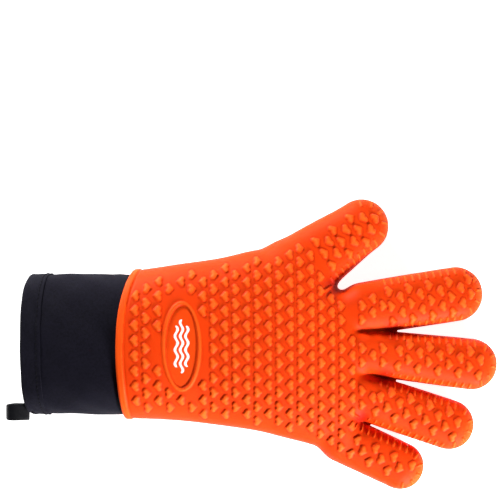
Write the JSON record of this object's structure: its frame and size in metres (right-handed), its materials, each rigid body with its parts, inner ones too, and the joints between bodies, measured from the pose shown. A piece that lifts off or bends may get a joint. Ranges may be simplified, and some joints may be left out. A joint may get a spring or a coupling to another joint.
{
  "type": "heat resistant glove",
  "caption": "Right-hand heat resistant grill glove: thick silicone with raised grip hearts, cotton lining, long canvas cuff and a hanging loop; fingers, thumb and wrist bend.",
  "frame": {"origin": "on the table, under the middle of the outline", "axes": "+X from the cuff to the fingertips, +Y to the thumb side, +Z out of the back of the hand"},
  "size_m": [0.3656, 0.2198, 0.07],
  "materials": {
    "silicone": "satin silicone, orange",
    "cotton_lining": "brushed cotton",
    "cuff_lining_cloth": "cotton, black",
    "canvas": "canvas, blue-black",
    "hem_canvas": "folded canvas, blue-black",
    "seam_tape": "bound seam",
    "thread": "polyester thread",
    "loop_tape": "woven tape, slightly glossy",
    "print_ink": "printed ink"
  },
  "bodies": {
    "gauntlet": {"gauntlet_shell": "silicone", "gauntlet_liner": "cotton_lining", "badge_print": "print_ink", "cuff_canvas": "canvas", "cuff_lining": "cuff_lining_cloth", "cuff_hem": "hem_canvas", "hem_stitching": "thread", "cuff_side_seam": "seam_tape", "loop_tack": "thread", "wrist_fold_shell": "silicone", "wrist_fold_liner": "cotton_lining"},
    "loop": {"hanging_loop": "loop_tape"},
    "palm": {"palm_shell": "silicone", "palm_liner": "cotton_lining", "thumb_root_fold_shell": "silicone", "thumb_root_fold_liner": "cotton_lining", "index_root_fold_shell": "silicone", "index_root_fold_liner": "cotton_lining", "middle_root_fold_shell": "silicone", "middle_root_fold_liner": "cotton_lining", "ring_root_fold_shell": "silicone", "ring_root_fold_liner": "cotton_lining", "little_root_fold_shell": "silicone", "little_root_fold_liner": "cotton_lining"},
    "thumb_base": {"thumb_base_shell": "silicone", "thumb_base_liner": "cotton_lining", "thumb_middle_fold_shell": "silicone", "thumb_middle_fold_liner": "cotton_lining"},
    "thumb_tip": {"thumb_tip_shell": "silicone", "thumb_tip_liner": "cotton_lining"},
    "index_base": {"index_base_shell": "silicone", "index_base_liner": "cotton_lining", "index_middle_fold_shell": "silicone", "index_middle_fold_liner": "cotton_lining"},
    "index_tip": {"index_tip_shell": "silicone", "index_tip_liner": "cotton_lining"},
    "middle_base": {"middle_base_shell": "silicone", "middle_base_liner": "cotton_lining", "middle_middle_fold_shell": "silicone", "middle_middle_fold_liner": "cotton_lining"},
    "middle_tip": {"middle_tip_shell": "silicone", "middle_tip_liner": "cotton_lining"},
    "ring_base": {"ring_base_shell": "silicone", "ring_base_liner": "cotton_lining", "ring_middle_fold_shell": "silicone", "ring_middle_fold_liner": "cotton_lining"},
    "ring_tip": {"ring_tip_shell": "silicone", "ring_tip_liner": "cotton_lining"},
    "little_base": {"little_base_shell": "silicone", "little_base_liner": "cotton_lining", "little_middle_fold_shell": "silicone", "little_middle_fold_liner": "cotton_lining"},
    "little_tip": {"little_tip_shell": "silicone", "little_tip_liner": "cotton_lining"}
  },
  "joints": [
    {"name": "wrist_bend", "type": "hinge", "parent": "gauntlet", "child": "palm", "pos_m": [-0.01281, 0, 0.0288], "axis": [0, 1, 0], "range_deg": [-40, 50], "stiffness_Nm_per_rad": 0.6, "deforming": ["wrist_fold_shell", "wrist_fold_liner"]},
    {"name": "loop_swing", "type": "hinge", "parent": "gauntlet", "child": "loop", "pos_m": [-0.16671, -0.04887, 0.046], "axis": [0, 1, 0], "range_deg": [-60, 60]},
    {"name": "thumb_root_bend", "type": "hinge", "parent": "palm", "child": "thumb_base", "pos_m": [0.05399, 0.0717, 0.0125], "axis": [-0.5736, 0.8192, 0], "range_deg": [0, 50], "stiffness_Nm_per_rad": 0.09, "deforming": ["thumb_root_fold_shell", "thumb_root_fold_liner"]},
    {"name": "thumb_middle_bend", "type": "hinge", "parent": "thumb_base", "child": "thumb_tip", "pos_m": [0.07611, 0.08719, 0.0125], "axis": [-0.5736, 0.8192, 0], "range_deg": [0, 70], "stiffness_Nm_per_rad": 0.05, "deforming": ["thumb_middle_fold_shell", "thumb_middle_fold_liner"]},
    {"name": "index_root_bend", "type": "hinge", "parent": "palm", "child": "index_base", "pos_m": [0.1152, 0.03257, 0.011], "axis": [0.0419, 0.9991, 0], "range_deg": [0, 75], "stiffness_Nm_per_rad": 0.09, "deforming": ["index_root_fold_shell", "index_root_fold_liner"]},
    {"name": "index_middle_bend", "type": "hinge", "parent": "index_base", "child": "index_tip", "pos_m": [0.14364, 0.03707, 0.011], "axis": [0.0419, 0.9991, 0], "range_deg": [0, 85], "stiffness_Nm_per_rad": 0.05, "deforming": ["index_middle_fold_shell", "index_middle_fold_liner"]},
    {"name": "middle_root_bend", "type": "hinge", "parent": "palm", "child": "middle_base", "pos_m": [0.11244, -0.00917, 0.011], "axis": [0.1495, 0.9888, 0], "range_deg": [0, 80], "stiffness_Nm_per_rad": 0.09, "deforming": ["middle_root_fold_shell", "middle_root_fold_liner"]},
    {"name": "middle_middle_bend", "type": "hinge", "parent": "middle_base", "child": "middle_tip", "pos_m": [0.1499, -0.01343, 0.011], "axis": [0.1495, 0.9888, 0], "range_deg": [0, 85], "stiffness_Nm_per_rad": 0.05, "deforming": ["middle_middle_fold_shell", "middle_middle_fold_liner"]},
    {"name": "ring_root_bend", "type": "hinge", "parent": "palm", "child": "ring_base", "pos_m": [0.10438, -0.04696, 0.011], "axis": [0.23, 0.9732, 0], "range_deg": [0, 80], "stiffness_Nm_per_rad": 0.09, "deforming": ["ring_root_fold_shell", "ring_root_fold_liner"]},
    {"name": "ring_middle_bend", "type": "hinge", "parent": "ring_base", "child": "ring_tip", "pos_m": [0.13486, -0.05704, 0.011], "axis": [0.23, 0.9732, 0], "range_deg": [0, 85], "stiffness_Nm_per_rad": 0.05, "deforming": ["ring_middle_fold_shell", "ring_middle_fold_liner"]},
    {"name": "little_root_bend", "type": "hinge", "parent": "palm", "child": "little_base", "pos_m": [0.08599, -0.08115, 0.011], "axis": [0.2773, 0.9608, 0], "range_deg": [0, 75], "stiffness_Nm_per_rad": 0.09, "deforming": ["little_root_fold_shell", "little_root_fold_liner"]},
    {"name": "little_middle_bend", "type": "hinge", "parent": "little_base", "child": "little_tip", "pos_m": [0.10615, -0.09068, 0.011], "axis": [0.2773, 0.9608, 0], "range_deg": [0, 70], "stiffness_Nm_per_rad": 0.05, "deforming": ["little_middle_fold_shell", "little_middle_fold_liner"]}
  ]
}
